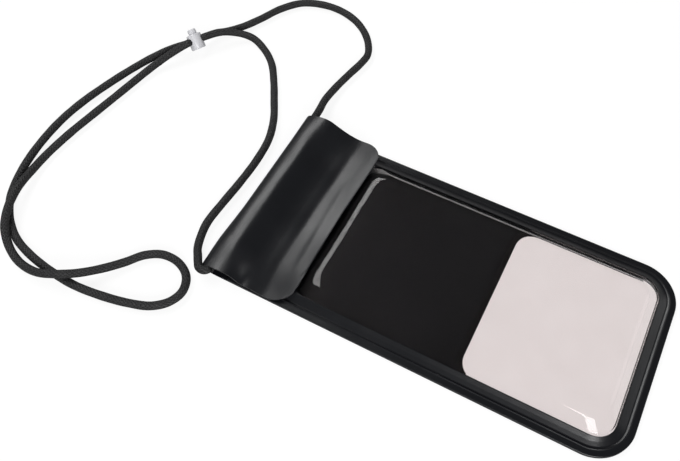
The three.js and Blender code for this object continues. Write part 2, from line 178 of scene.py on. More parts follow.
def grid_faces(rows: int, columns: int, first: int = 0, closed: bool = False) -> np.ndarray:
    """Return the quads of a grid of vertices, numbered row by row.

    Args:
        rows: Rows of vertices.
        columns: Vertices in a row.
        first: The number of the grid's first vertex.
        closed: Whether a row's end joins its start.

    Returns:
        Four vertex numbers per quad, anticlockwise for rows that go up and columns to the right.
    """
    i = np.arange(rows - 1)[:, None]
    j = np.arange(columns if closed else columns - 1)[None, :]
    k = (j + 1) % columns
    quads = np.stack([i * columns + j, i * columns + k, (i + 1) * columns + k, (i + 1) * columns + j], -1)
    return quads.reshape(-1, 4) + first


def new_piece(
    name: str,
    vertices: np.ndarray,
    quads: np.ndarray,
    uvs: np.ndarray | None = None,
    weld: float = 0.0,
) -> bpy.types.Object:
    """Make an object at the origin from vertices and quads, smooth shaded.

    Args:
        name: The piece's name.
        vertices: Points, one per row.
        quads: Four vertex numbers per row.
        uvs: Four (u, v) pairs per quad, or None.
        weld: Vertices nearer than this are merged, and degenerate faces go. 0 leaves them.

    Returns:
        The object, linked to the scene.
    """
    mesh = bpy.data.meshes.new(name)
    mesh.vertices.add(len(vertices))
    mesh.vertices.foreach_set("co", np.ascontiguousarray(vertices, dtype=np.float32).ravel())
    mesh.loops.add(quads.size)
    mesh.loops.foreach_set("vertex_index", np.ascontiguousarray(quads, dtype=np.int32).ravel())
    mesh.polygons.add(len(quads))
    mesh.polygons.foreach_set("loop_start", np.arange(0, quads.size, 4, dtype=np.int32))
    mesh.update(calc_edges=True)
    if uvs is not None:
        layer = mesh.uv_layers.new(name="surface")
        layer.data.foreach_set("uv", np.ascontiguousarray(uvs, dtype=np.float32).ravel())
    if weld:
        shape = bmesh.new()
        shape.from_mesh(mesh)
        bmesh.ops.remove_doubles(shape, verts=shape.verts, dist=weld)
        bmesh.ops.dissolve_degenerate(shape, edges=shape.edges, dist=weld)
        shape.to_mesh(mesh)
        shape.free()
    mesh.shade_smooth()
    piece = bpy.data.objects.new(name, mesh)
    bpy.context.scene.collection.objects.link(piece)
    return piece


def sheet_piece(
    name: str, upper: np.ndarray, lower: np.ndarray, closed: bool = False, weld: float = 0.0
) -> bpy.types.Object:
    """Make a thin closed shell between two grids of points with the same numbers.

    Args:
        name: The piece's name.
        upper: The outer side, as rows × columns × 3, anticlockwise seen from outside.
        lower: The inner side, in the same order.
        closed: Whether each row's end joins its start, so that only two edges need a wall.
        weld: As in new_piece.

    Returns:
        The object.
    """
    rows, columns = upper.shape[:2]
    count = rows * columns
    top = grid_faces(rows, columns, 0, closed)
    bottom = grid_faces(rows, columns, count, closed)[:, ::-1]
    walls = []
    j = np.arange(columns if closed else columns - 1)
    k = (j + 1) % columns
    walls.append(np.stack([j + count, k + count, k, j], -1))
    last = (rows - 1) * columns
    walls.append(np.stack([last + j, last + k, last + k + count, last + j + count], -1))
    if not closed:
        i = np.arange(rows - 1) * columns
        walls.append(np.stack([i, i + columns, i + columns + count, i + count], -1))
        e = i + columns - 1
        walls.append(np.stack([e + count, e + columns + count, e + columns, e], -1))
    vertices = np.vstack([upper.reshape(-1, 3), lower.reshape(-1, 3)])
    return new_piece(name, vertices, np.vstack([top, bottom, *walls]), weld=weld)


def tube_mesh(rings: np.ndarray) -> tuple[np.ndarray, np.ndarray]:
    """Return the vertices and quads of a tube that a fan of quads closes at each end.

    Args:
        rings: Points as (rings, sides, 3), anticlockwise seen along the tube. The number of
            sides is even.

    Returns:
        The points, and the quads: first those of the wall, ring by ring, then the two fans.
    """
    rows, sides = rings.shape[:2]
    vertices = np.vstack([rings.reshape(-1, 3), rings[0].mean(axis=0), rings[-1].mean(axis=0)])
    wall = grid_faces(rows, sides, 0, True)[:, ::-1]
    j = np.arange(0, sides, 2)
    fan = np.stack([np.full_like(j, rows * sides), j, j + 1, (j + 2) % sides], -1)
    far_fan = np.stack([np.full_like(j, rows * sides + 1), j, j + 1, (j + 2) % sides], -1)
    far_fan[:, 1:] += (rows - 1) * sides
    return vertices, np.vstack([wall, fan, far_fan[:, ::-1]])


def cutting_tool(name: str, rings: np.ndarray) -> bpy.types.Object:
    """Make the closed shape between two rings, clockwise seen along the way from one to the other.

    Args:
        name: The tool's name.
        rings: Points as (2, sides, 3), with an even number of sides.

    Returns:
        The tool, for cut_with.
    """
    vertices, quads = tube_mesh(rings)
    return new_piece(name, vertices, quads[:, ::-1])


def mark_sharp(piece: bpy.types.Object, degrees: float) -> None:
    """Shade a piece smooth, but keep edges that turn by more than an angle sharp."""
    piece.data.set_sharp_from_angle(angle=math.radians(degrees))


def keep_modified(piece: bpy.types.Object) -> None:
    """Replace a piece's mesh by what its modifiers make of it, and drop the modifiers."""
    graph = bpy.context.evaluated_depsgraph_get()
    result = bpy.data.meshes.new_from_object(piece.evaluated_get(graph))
    piece.modifiers.clear()
    piece.data = result


def cut_with(piece: bpy.types.Object, tool: bpy.types.Object) -> None:
    """Cut a tool's closed shape out of a piece, and delete the tool.

    Args:
        piece: The piece, whose mesh is replaced by the result.
        tool: A closed shape that is only there to cut.
    """
    step = piece.modifiers.new("cut", "BOOLEAN")
    step.operation = "DIFFERENCE"
    step.solver = "EXACT"
    step.object = tool
    keep_modified(piece)
    bpy.data.objects.remove(tool)


def round_edges(piece: bpy.types.Object, width: float) -> None:
    """Round the edges of a piece that turn by more than 60 degrees.

    Args:
        piece: The piece, whose mesh is replaced by the result.
        width: How far the rounding reaches from the edge.
    """
    step = piece.modifiers.new("round", "BEVEL")
    step.width = width
    step.segments = 3
    step.limit_method = "ANGLE"
    step.angle_limit = math.radians(60)
    keep_modified(piece)


# Finishes


class Nodes:
    """A material's node tree, with short calls that add nodes."""

    def __init__(self, name: str) -> None:
        """Start a material of this name with a Principled surface."""
        self.material = bpy.data.materials.new(name)
        self.material.use_nodes = True
        self.tree = self.material.node_tree
        self.surface = self.tree.nodes["Principled BSDF"]
        self.output = self.tree.nodes["Material Output"]

    def add(self, kind: str, **settings: object) -> bpy.types.Node:
        """Add a node of a kind, with its properties set."""
        node = self.tree.nodes.new(kind)
        for key, value in settings.items():
            setattr(node, key, value)
        return node

    def link(self, source: bpy.types.NodeSocket, target: bpy.types.NodeSocket) -> None:
        """Join two sockets."""
        self.tree.links.new(source, target)

    def place(self) -> bpy.types.NodeSocket:
        """Return the Object coordinates."""
        return self.add("ShaderNodeTexCoord").outputs["Object"]

    def math(self, operation: str, *values: object) -> bpy.types.NodeSocket:
        """Return the result of a Math node whose inputs are sockets or numbers."""
        node = self.add("ShaderNodeMath", operation=operation)
        for index, value in enumerate(values):
            if isinstance(value, bpy.types.NodeSocket):
                self.link(value, node.inputs[index])
            else:
                node.inputs[index].default_value = value
        return node.outputs[0]

    def noise(self, scale: float, detail: float = 3.0, rough: float = 0.5) -> bpy.types.NodeSocket:
        """Return a noise value over Object coordinates, scale in features per metre."""
        node = self.add("ShaderNodeTexNoise")
        node.inputs["Scale"].default_value = scale
        node.inputs["Detail"].default_value = detail
        node.inputs["Roughness"].default_value = rough
        self.link(self.place(), node.inputs["Vector"])
        return node.outputs["Fac"]

    def spread(self, value: bpy.types.NodeSocket, low: float, high: float) -> bpy.types.NodeSocket:
        """Return a 0.3..0.7 noise value stretched to run from low to high."""
        node = self.add("ShaderNodeMapRange")
        node.inputs["From Min"].default_value = 0.3
        node.inputs["From Max"].default_value = 0.7
        node.inputs["To Min"].default_value = low
        node.inputs["To Max"].default_value = high
        self.link(value, node.inputs["Value"])
        return node.outputs["Result"]

    def mix_colour(
        self, share: bpy.types.NodeSocket, first: Sequence[float], second: Sequence[float]
    ) -> bpy.types.NodeSocket:
        """Return a mix of two colours by a share."""
        node = self.add("ShaderNodeMix", data_type="RGBA")
        colours = {"A": first, "B": second}
        for socket in node.inputs:
            if socket.type == "RGBA" and socket.name in colours:
                socket.default_value = (*colours[socket.name], 1.0)
        self.link(share, node.inputs["Factor"])
        return next(s for s in node.outputs if s.type == "RGBA")

    def bump(
        self, height: bpy.types.NodeSocket, depth: float, after: bpy.types.NodeSocket | None = None
    ) -> bpy.types.NodeSocket:
        """Return a normal bent by a height, with its depth in metres."""
        node = self.add("ShaderNodeBump")
        node.inputs["Strength"].default_value = 1.0
        node.inputs["Distance"].default_value = depth
        self.link(height, node.inputs["Height"])
        if after is not None:
            self.link(after, node.inputs["Normal"])
        return node.outputs["Normal"]

    def set(self, **values: object) -> None:
        """Set the surface's sockets, by name with spaces as underscores."""
        for key, value in values.items():
            socket = self.surface.inputs[key.replace("_", " ")]
            if isinstance(value, bpy.types.NodeSocket):
                self.link(value, socket)
            else:
                socket.default_value = value


@dataclass(frozen=True)
class BlackFilm:
    """Satin black flexible film: a fine leather-like grain, and soft cloudy changes of gloss."""

    dark: tuple[float, float, float] = (0.0042, 0.0046, 0.0062)
    light: tuple[float, float, float] = (0.0066, 0.0072, 0.0092)
    low_roughness: float = 0.286
    high_roughness: float = 0.36
    fine_roughness: float = 0.01
    dimple_depth: float = 0.1 * MM
    grain_depth: float = 0.008 * MM

    def build(self) -> bpy.types.Material:
        """Return the material."""
        nodes = Nodes("black_film_finish")
        nodes.set(
            Base_Color=nodes.mix_colour(nodes.noise(90.0), self.dark, self.light),
            Roughness=nodes.math(
                "ADD",
                nodes.spread(nodes.noise(35.0), self.low_roughness, self.high_roughness),
                nodes.spread(nodes.noise(800.0), -self.fine_roughness, self.fine_roughness),
            ),
            Specular_IOR_Level=0.5,
        )
        grain = nodes.bump(nodes.noise(2600.0, 2.0), self.grain_depth)
        nodes.set(Normal=nodes.bump(nodes.noise(120.0, 2.0), self.dimple_depth, grain))
        return nodes.material


@dataclass(frozen=True)
class ClearFilm:
    """Clear glossy film, a little milky, with long shallow waves in it."""

    dark: tuple[float, float, float] = (0.89, 0.845, 0.84)
    light: tuple[float, float, float] = (0.925, 0.885, 0.882)
    low_roughness: float = 0.02
    high_roughness: float = 0.05
    refraction: float = 1.3
    wave_depth: float = 0.05 * MM

    def build(self) -> bpy.types.Material:
        """Return the material."""
        nodes = Nodes("clear_film_finish")
        nodes.set(
            Base_Color=nodes.mix_colour(nodes.noise(60.0), self.dark, self.light),
            Roughness=nodes.spread(nodes.noise(120.0), self.low_roughness, self.high_roughness),
            IOR=self.refraction,
            Transmission_Weight=1.0,
            Normal=nodes.bump(nodes.noise(45.0, 1.0), self.wave_depth),
        )
        return nodes.material


@dataclass(frozen=True)
class Braid:
    """Round braided cord: strands cross over and under each other in two diagonal directions. Its colour
    carries painted shade in the grooves between strands and a painted sheen on their crests.
    """

    # dark is the painted shade in the grooves between strands, light the painted sheen on the strand crests.
    dark: tuple[float, float, float] = (0.006, 0.006, 0.0065)
    light: tuple[float, float, float] = (0.034, 0.034, 0.035)
    strands: int = 8
    pitch: float = 2.2 * MM
    depth: float = 0.22 * MM

    def build(self) -> bpy.types.Material:
        """Return the material.

        With s the distance along the cord and w the turn around it, the two directions are
        a = s / pitch + strands × w and b = s / pitch − strands × w. A strand is |sin(πa)| high, or
        |sin(πb)| where the whole parts of a and b add up to an odd number.
        """
        nodes = Nodes("braid_finish")
        split = nodes.add("ShaderNodeSeparateXYZ")
        nodes.link(nodes.add("ShaderNodeUVMap", uv_map="surface").outputs["UV"], split.inputs[0])
        along = nodes.math("MULTIPLY", split.outputs["X"], 1.0 / self.pitch)
        around = nodes.math("MULTIPLY", split.outputs["Y"], float(self.strands))
        a = nodes.math("ADD", along, around)
        b = nodes.math("SUBTRACT", along, around)
        whole = nodes.math("ADD", nodes.math("FLOOR", a), nodes.math("FLOOR", b))
        odd = nodes.math("PINGPONG", whole, 1.0)
        high_a = nodes.math("ABSOLUTE", nodes.math("SINE", nodes.math("MULTIPLY", a, math.pi)))
        high_b = nodes.math("ABSOLUTE", nodes.math("SINE", nodes.math("MULTIPLY", b, math.pi)))
        kept_a = nodes.math("MULTIPLY", high_a, nodes.math("SUBTRACT", 1.0, odd))
        height = nodes.math("MULTIPLY_ADD", high_b, odd, kept_a)
        # Painted shade and sheen: the colour is dark where the strands dip into grooves and light on their
        # crests, and noise spreads the crests' lightness at random.
        groove_shade_and_crest_sheen = nodes.math("MULTIPLY", height, nodes.spread(nodes.noise(700.0), 0.45, 1.0))
        nodes.set(
            Base_Color=nodes.mix_colour(groove_shade_and_crest_sheen, self.dark, self.light),
            Roughness=nodes.spread(nodes.noise(400.0), 0.5, 0.7),
            Specular_IOR_Level=0.35,
            Normal=nodes.bump(height, self.depth),
        )
        return nodes.material


@dataclass(frozen=True)
class Moulded:
    """Moulded plastic with a faint unevenness in its colour, gloss and surface."""

    name: str
    dark: tuple[float, float, float]
    light: tuple[float, float, float]
    low_roughness: float
    high_roughness: float
    dimple_depth: float = 0.02 * MM

    def build(self) -> bpy.types.Material:
        """Return the material."""
        nodes = Nodes(self.name)
        nodes.set(
            Base_Color=nodes.mix_colour(nodes.noise(250.0), self.dark, self.light),
            Roughness=nodes.spread(nodes.noise(600.0), self.low_roughness, self.high_roughness),
            Normal=nodes.bump(nodes.noise(900.0, 2.0), self.dimple_depth),
        )
        return nodes.material


@dataclass(frozen=True)
class StripTape:
    """Hook-and-loop tape: short matted fibres."""

    dark: tuple[float, float, float] = (0.004, 0.004, 0.0045)
    light: tuple[float, float, float] = (0.02, 0.02, 0.021)
    pile_depth: float = 0.3 * MM

    def build(self) -> bpy.types.Material:
        """Return the material."""
        nodes = Nodes("strip_finish")
        nodes.set(
            Base_Color=nodes.mix_colour(nodes.noise(1500.0), self.dark, self.light),
            Roughness=nodes.spread(nodes.noise(900.0), 0.8, 0.98),
            Normal=nodes.bump(nodes.noise(2200.0, 4.0), self.pile_depth),
        )
        return nodes.material


@dataclass(frozen=True)
class SpringWire:
    """Drawn steel wire, faintly uneven."""

    dark: tuple[float, float, float] = (0.42, 0.42, 0.43)
    light: tuple[float, float, float] = (0.6, 0.6, 0.61)

    def build(self) -> bpy.types.Material:
        """Return the material."""
        nodes = Nodes("spring_finish")
        nodes.set(
            Base_Color=nodes.mix_colour(nodes.noise(900.0), self.dark, self.light),
            Roughness=nodes.spread(nodes.noise(700.0), 0.22, 0.36),
            Metallic=1.0,
        )
        return nodes.material


@dataclass
class Finishes:
    """The finish of each slot, built once."""

    black_film: bpy.types.Material = field(default_factory=lambda: BlackFilm().build())
    clear_film: bpy.types.Material = field(default_factory=lambda: ClearFilm().build())
    braid: bpy.types.Material = field(default_factory=lambda: Braid().build())
    strip: bpy.types.Material = field(default_factory=lambda: StripTape().build())
    spring: bpy.types.Material = field(default_factory=lambda: SpringWire().build())
    seal: bpy.types.Material = field(
        default_factory=lambda: Moulded(
            "seal_finish", (0.014, 0.014, 0.016), (0.022, 0.022, 0.025), 0.40, 0.50
        ).build()
    )
    lock: bpy.types.Material = field(
        default_factory=lambda: Moulded(
            "lock_finish", (0.66, 0.66, 0.69), (0.76, 0.76, 0.79), 0.28, 0.38
        ).build()
    )


def dress_node(name: str, material: bpy.types.Material) -> None:
    """Give a CAD node that stays as it is its finish.

    Args:
        name: The node's name.
        material: Its finish.
    """
    mesh = bpy.data.objects[name].data
    if not mesh.materials:
        mesh.materials.append(material)
    for index in range(len(mesh.materials)):
        mesh.materials[index] = material
    LOG.info("dressed %s", name)


def finish_piece(
    piece: bpy.types.Object, material: bpy.types.Material, slot: Slot, body: Body, *nodes: str
) -> bpy.types.Object:
    """Give a new piece its finish and body, and hide the CAD nodes that it stands for.

    Args:
        piece: The piece.
        material: Its finish.
        slot: Not used.
        body: The body that it moves with.
        nodes: The CAD nodes that it replaces.

    Returns:
        The piece.
    """
    piece.data.materials.clear()
    piece.data.materials.append(material)
    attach(piece, body.value)
    if nodes:
        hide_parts(*nodes)
    LOG.info("made %s, %d faces", piece.name, len(piece.data.polygons))
    return piece


# Camera, light and floor


@dataclass(frozen=True)
class Lamp:
    """A rectangular soft lamp.

    Its size is its level side and its other side, and its power is in watts.
    """

    name: str
    place: tuple[float, float, float]
    aim: tuple[float, float, float]
    size: tuple[float, float]
    watts: float

    def build(self) -> None:
        """Hang the lamp in its place, facing its aim."""
        data = bpy.data.lights.new(self.name, "AREA")
        data.shape = "RECTANGLE"
        data.size, data.size_y = self.size
        data.energy = self.watts
        lamp = bpy.data.objects.new(self.name, data)
        toward = np.array(self.place) - np.array(self.aim)
        back = toward / np.linalg.norm(toward)
        side = np.cross([0.0, 0.0, 1.0], back)
        side = side / np.linalg.norm(side)
        turn = Matrix((side, np.cross(back, side), back)).transposed().to_4x4()
        lamp.matrix_world = Matrix.Translation(self.place) @ turn
        bpy.context.scene.collection.objects.link(lamp)


@dataclass(frozen=True)
class Studio:
    """The photograph's camera, soft lamps and a white floor."""

    position: tuple[float, float, float] = (-0.17178, -0.03826, 0.32746)
    right: tuple[float, float, float] = (0.47001, -0.88250, -0.01695)
    up: tuple[float, float, float] = (0.75985, 0.39477, 0.51651)
    back: tuple[float, float, float] = (-0.44913, -0.25565, 0.85611)
    lens: float = 37.82
    sensor: float = 36.0
    floor_half: float = 6.0
    floor_drop: float = 0.0003
    floor_lit_share: float = 0.25
    floor_glow: float = 1.18
    floor_grey: float = 0.6
    horizon: float = 0.2
    horizon_low: float = 0.05
    horizon_high: float = 0.3
    ambient: float = 0.10
    lamps: tuple[Lamp, ...] = (
        Lamp("far_lamp", (0.42, 0.757, 0.867), (0.42, 0.08, 0.0), (1.5, 0.38), 9.7),
        Lamp("low_end_lamp", (0.60, -0.90, 0.40), (0.0, -0.05, 0.0), (0.5, 0.5), 0.75),
        Lamp("near_lamp", (-1.0, -0.6, 0.65), (0.0, 0.05, 0.0), (0.7, 0.7), 15.0),
    )

    def camera(self) -> None:
        """Make the camera and look through it."""
        data = bpy.data.cameras.new("camera")
        data.lens = self.lens
        data.sensor_width = self.sensor
        data.sensor_fit = "HORIZONTAL"
        data.clip_start = 0.01
        camera = bpy.data.objects.new("camera", data)
        turn = Matrix((self.right, self.up, self.back)).transposed().to_4x4()
        camera.matrix_world = Matrix.Translation(self.position) @ turn
        bpy.context.scene.collection.objects.link(camera)
        bpy.context.scene.camera = camera

    def seen_directly(self, tree: bpy.types.NodeTree, rays: Sequence[str]) -> bpy.types.NodeSocket:
        """Return 1 on rays of the named kinds, such as the camera's, and 0 on others."""
        path = tree.nodes.new("ShaderNodeLightPath")
        found = path.outputs[rays[0]]
        for name in rays[1:]:
            gather = tree.nodes.new("ShaderNodeMath")
            gather.operation = "MAXIMUM"
            tree.links.new(found, gather.inputs[0])
            tree.links.new(path.outputs[name], gather.inputs[1])
            found = gather.outputs[0]
        return found

    def world(self) -> None:
        """Make the surroundings: white to the camera, and plain soft light on the object."""
        world = bpy.data.worlds.new("surroundings")
        world.use_nodes = True
        bpy.context.scene.world = world
        tree = world.node_tree
        plain = tree.nodes["Background"]
        plain.inputs["Color"].default_value = (1, 1, 1, 1)
        ways = tree.nodes.new("ShaderNodeSeparateXYZ")
        tree.links.new(tree.nodes.new("ShaderNodeTexCoord").outputs["Generated"], ways.inputs[0])
        fade = tree.nodes.new("ShaderNodeMapRange")
        fade.interpolation_type = "SMOOTHSTEP"
        fade.inputs["From Min"].default_value = self.horizon_low
        fade.inputs["From Max"].default_value = self.horizon_high
        fade.inputs["To Min"].default_value = self.horizon
        fade.inputs["To Max"].default_value = self.ambient
        tree.links.new(ways.outputs["Z"], fade.inputs["Value"])
        tree.links.new(fade.outputs["Result"], plain.inputs["Strength"])
        white = tree.nodes.new("ShaderNodeBackground")
        white.inputs["Color"].default_value = (1, 1, 1, 1)
        white.inputs["Strength"].default_value = 1.0
        mix = tree.nodes.new("ShaderNodeMixShader")
        tree.links.new(self.seen_directly(tree, ("Is Camera Ray",)), mix.inputs[0])
        tree.links.new(plain.outputs[0], mix.inputs[1])
        tree.links.new(white.outputs[0], mix.inputs[2])
        tree.links.new(mix.outputs[0], tree.nodes["World Output"].inputs["Surface"])

    def floor(self) -> None:
        """Make the floor: a matt white sheet that keeps a faint shadow."""
        half = self.floor_half
        corners = np.array([[-half, -half], [half, -half], [half, half], [-half, half]])
        points = np.column_stack([corners, np.full(4, -self.floor_drop)])
        floor = new_piece("floor", points, np.array([[0, 1, 2, 3]]))
        nodes = Nodes("floor_paper")
        tree = nodes.tree
        nodes.set(Base_Color=(*[self.floor_grey] * 3, 1.0), Roughness=0.95, Specular_IOR_Level=0.0)
        glow = nodes.add("ShaderNodeEmission")
        glow.inputs["Color"].default_value = (1, 1, 1, 1)
        glow.inputs["Strength"].default_value = self.floor_glow
        rays = ("Is Camera Ray", "Is Transmission Ray")
        share = nodes.math("MULTIPLY", self.seen_directly(tree, rays), 1.0 - self.floor_lit_share)
        mix = nodes.add("ShaderNodeMixShader")
        nodes.link(share, mix.inputs[0])
        nodes.link(nodes.surface.outputs[0], mix.inputs[1])
        nodes.link(glow.outputs[0], mix.inputs[2])
        nodes.link(mix.outputs[0], nodes.output.inputs["Surface"])
        floor.data.materials.append(nodes.material)

    def build(self) -> None:
        """Make the floor, the surroundings and the lamps."""
        bpy.context.scene.view_settings.view_transform = "Standard"
        self.floor()
        self.world()
        for lamp in self.lamps:
            lamp.build()


# Sizes and places that pieces share


@dataclass(frozen=True)
class PouchSize:
    """Sizes that the pouch's pieces share."""

    half_width: float = 53.7 * MM
    bottom: float = -110.0 * MM
    corner: float = 20.0 * MM
    mouth: float = 97.0 * MM
    side_border: float = 9.0 * MM
    end_border: float = 9.1 * MM
    window_high: float = 66.0 * MM
    window_corner: float = 10.0 * MM

    def window_half(self) -> float:
        """Return half of the window's width."""
        return self.half_width - self.side_border

    def window_low(self) -> float:
        """Return the window's lowest Y."""
        return self.bottom + self.end_border


@dataclass(frozen=True)
class LockPlace:
    """Where the cord lock leans on the surface, and which way its barrel points."""

    centre: tuple[float, float, float] = (77.6 * MM, 203.4 * MM, 6.9 * MM)
    heading: float = math.radians(58.0)
    tilt: float = math.radians(46.0)
    clamp_middle: float = 5.5 * MM
    barrel_radius: float = 4.6 * MM
    gap: float = 0.3 * MM
    cord_diameter: float = 4.5 * MM
    squeezed_offset: float = 0.85 * MM
    squeezed_share: float = 0.55

    def axes(self) -> np.ndarray:
        """Return three rows: along the cord, across the lock, and along the barrel."""
        h, t = self.heading, self.tilt
        along = np.array([math.sin(h), -math.cos(h), 0.0])
        barrel = np.array([math.cos(h) * math.cos(t), math.sin(h) * math.cos(t), math.sin(t)])
        return np.array([along, np.cross(barrel, along), barrel])

    def mouth(self, side: float, strand: float, beyond: float = 0.0) -> np.ndarray:
        """Return where a strand meets the lock's face, or a point beyond it."""
        along, across, _ = self.axes()
        reach = side * (self.barrel_radius + self.gap + beyond)
        return np.array(self.centre) + along * reach + across * strand * (self.cord_diameter + self.gap) / 2

    def inside(self, side: float, strand: float) -> np.ndarray:
        """Return where a squeezed strand runs inside the lock."""
        along, across, _ = self.axes()
        reach = side * self.squeezed_share * self.barrel_radius
        return np.array(self.centre) + along * reach + across * strand * self.squeezed_offset

    def base(self) -> np.ndarray:
        """Return the middle of the barrel's closed end."""
        return np.array(self.centre) - self.axes()[2] * self.clamp_middle


# The neck cord


@dataclass(frozen=True)
class NeckCord:
    """Braided cord from the roll's right end, round the loop and back into its left end."""

    lock: LockPlace
    size: PouchSize
    exit_y: float = 106.75 * MM
    exit_z: float = 6.2 * MM
    straight: float = 0.8 * MM
    inner_dip: float = 1.6 * MM
    dip_start: float = 30.0 * MM
    dip_length: float = 20.0 * MM
    squeeze_start: float = 0.62
    squeeze_fade: float = 2.2 * MM
    squeeze_reach: float = 9.0 * MM
    squeeze_across: float = 0.62
    squeeze_along_barrel: float = 0.33
    sides: int = 20
    spacing: float = 0.9 * MM
    right_route: tuple[tuple[float, float, float], ...] = (
        (64, 107.4, 5.4), (74, 108.9, 3.9), (86.5, 108.3, 2.8), (100, 106.2, 2.45),
        (111, 104, 2.45), (119.5, 103.6, 2.45), (128.5, 107.8, 2.45), (136.5, 114.8, 2.45),
        (143.2, 125, 2.45), (146.8, 138, 2.45), (146.2, 151, 2.45), (141.5, 163, 2.45),
        (130.6, 172.7, 2.45), (116.4, 179.8, 2.45), (105.4, 186.2, 2.45), (97.2, 192.5, 2.9),
        (91, 197.7, 3.9),
    )
    loop_route: tuple[tuple[float, float, float], ...] = (
        (66, 216.2, 3.5), (56, 222.6, 2.45), (41.3, 228.5, 2.45), (25.7, 233.6, 2.45),
        (8.9, 238.1, 2.45), (-8, 240.7, 2.45), (-25, 240.8, 2.45), (-40.9, 238.9, 2.45),
        (-55, 235.2, 2.45), (-67.5, 229.4, 2.45), (-77.4, 220.9, 2.45), (-84.8, 210, 2.45),
        (-89.2, 197, 2.45), (-91.9, 180.7, 2.45), (-92.8, 164.6, 2.45), (-91.2, 148.6, 2.45),
        (-88, 133.1, 2.45), (-83.9, 122, 2.45), (-77.6, 115.2, 2.45), (-70, 112.8, 2.45),
        (-62, 116, 2.45), (-57.2, 124, 2.45), (-57, 134, 2.45), (-61.7, 142.4, 2.45),
        (-70.1, 149.2, 2.6), (-79.2, 156.6, 4.2), (-87.9, 165, 6.6), (-93.9, 174.6, 7.3),
        (-96.7, 185.7, 5), (-95.6, 198, 3.9), (-90.8, 208.6, 4.7), (-82.8, 217.3, 6.9),
        (-72.3, 223.4, 7.5), (-60.5, 228.2, 6), (-47, 231, 3.6), (-33, 231.8, 2.45),
        (-16, 230, 2.45), (2, 226.8, 2.45), (20, 223.4, 2.45), (37, 220.3, 2.45),
        (51.3, 216.6, 3.4), (62.4, 210.9, 6.2),
    )
    left_route: tuple[tuple[float, float, float], ...] = (
        (89.8, 192.8, 7.9), (96.2, 185, 5.4), (99, 175.3, 3), (94.3, 163.8, 2.45),
        (86, 153.4, 2.45), (74, 144.6, 2.45), (61, 136.6, 2.45), (48, 129.2, 2.45),
        (34, 124.2, 2.45), (18.1, 122.5, 2.45), (0.2, 122.8, 2.45), (-15.8, 123.9, 2.45),
        (-29.8, 124.4, 2.45), (-38.8, 122.5, 2.55), (-45.6, 119.8, 3), (-49.5, 116.9, 3.8),
        (-53, 114.2, 4.9), (-55.8, 111.5, 5.8), (-56.2, 108.5, 6.2),
    )

    @property
    def diameter(self) -> float:
        """Return the cord's thickness."""
        return self.lock.cord_diameter

    def roll_exit(self, side: float, beyond: float = 0.0) -> np.ndarray:
        """Return where the cord leaves the roll on one side, or a point beyond it."""
        reach = side * (self.size.half_width + self.lock.gap + beyond)
        return np.array([reach, self.exit_y, self.exit_z])

    def route(self) -> np.ndarray:
        """Return the cord's centreline, at an even spacing."""
        lock, s = self.lock, self.straight
        right, loop, left = (
            np.array(r, dtype=float) * MM for r in (self.right_route, self.loop_route, self.left_route)
        )
        points = np.vstack(
            [
                self.roll_exit(1), self.roll_exit(1, s), right,
                lock.mouth(1, 1, s), lock.mouth(1, 1), lock.inside(1, 1), lock.inside(-1, 1),
                lock.mouth(-1, 1), lock.mouth(-1, 1, s), loop,
                lock.mouth(-1, -1, s), lock.mouth(-1, -1), lock.inside(-1, -1), lock.inside(1, -1),
                lock.mouth(1, -1), lock.mouth(1, -1, s), left,
                self.roll_exit(-1, s), self.roll_exit(-1),
            ]
        )
        return resample(centripetal_curve(points, 24), self.spacing)

    def tube(self, name: str, line: np.ndarray, squeeze: bool) -> bpy.types.Object:
        """Make a tube along a centreline, squeezed where it is inside the lock.

        A ring is centre + r cos(w) side + r sin(w) upward, with side level and square to the
        cord. Its radius r wanders by about 2% in two waves along the cord. Inside the lock the
        ring is narrowed across the lock and along the barrel.

        Args:
            name: The piece's name.
            line: The centreline.
            squeeze: Whether the tube passes the lock.

        Returns:
            The piece, with distance along and turn around it in its UV map.
        """
        run = np.gradient(line, axis=0)
        run /= np.linalg.norm(run, axis=1)[:, None]
        side = np.cross(run, [0.0, 0.0, 1.0])
        side /= np.linalg.norm(side, axis=1)[:, None]
        upward = np.cross(side, run)
        along = arc_lengths(line)
        radius = self.diameter / 2 * (1 + 0.012 * np.sin(along * 260) + 0.01 * np.sin(along * 611 + 1))
        turn = np.linspace(0, 2 * math.pi, self.sides, endpoint=False)
        offset = radius[:, None, None] * (
            np.cos(turn)[None, :, None] * side[:, None, :] + np.sin(turn)[None, :, None] * upward[:, None, :]
        )
        if squeeze:
            cord_way, across, barrel = self.lock.axes()
            away = line - np.array(self.lock.centre)
            start = self.squeeze_start * self.lock.barrel_radius
            near = 1 - ramp(np.abs(away @ cord_way), start, self.squeeze_fade)
            near = near * (np.linalg.norm(away, axis=1) < self.squeeze_reach)
            for axis, share in ((across, self.squeeze_across), (barrel, self.squeeze_along_barrel)):
                part = (offset @ axis)[:, :, None] * axis
                offset = offset - part * (share * near)[:, None, None]
        vertices, quads = tube_mesh(line[:, None, :] + offset)
        i = np.repeat(np.arange(len(line) - 1), self.sides)
        j = np.tile(np.arange(self.sides), len(line) - 1)
        low, high = j / self.sides, (j + 1) / self.sides
        uvs = np.stack(
            [
                np.stack([along[i + 1], low], -1), np.stack([along[i + 1], high], -1),
                np.stack([along[i], high], -1), np.stack([along[i], low], -1),
            ],
            1,
        )
        flat = np.zeros((self.sides, 4, 2))
        return new_piece(name, vertices, quads, np.vstack([uvs, flat]))

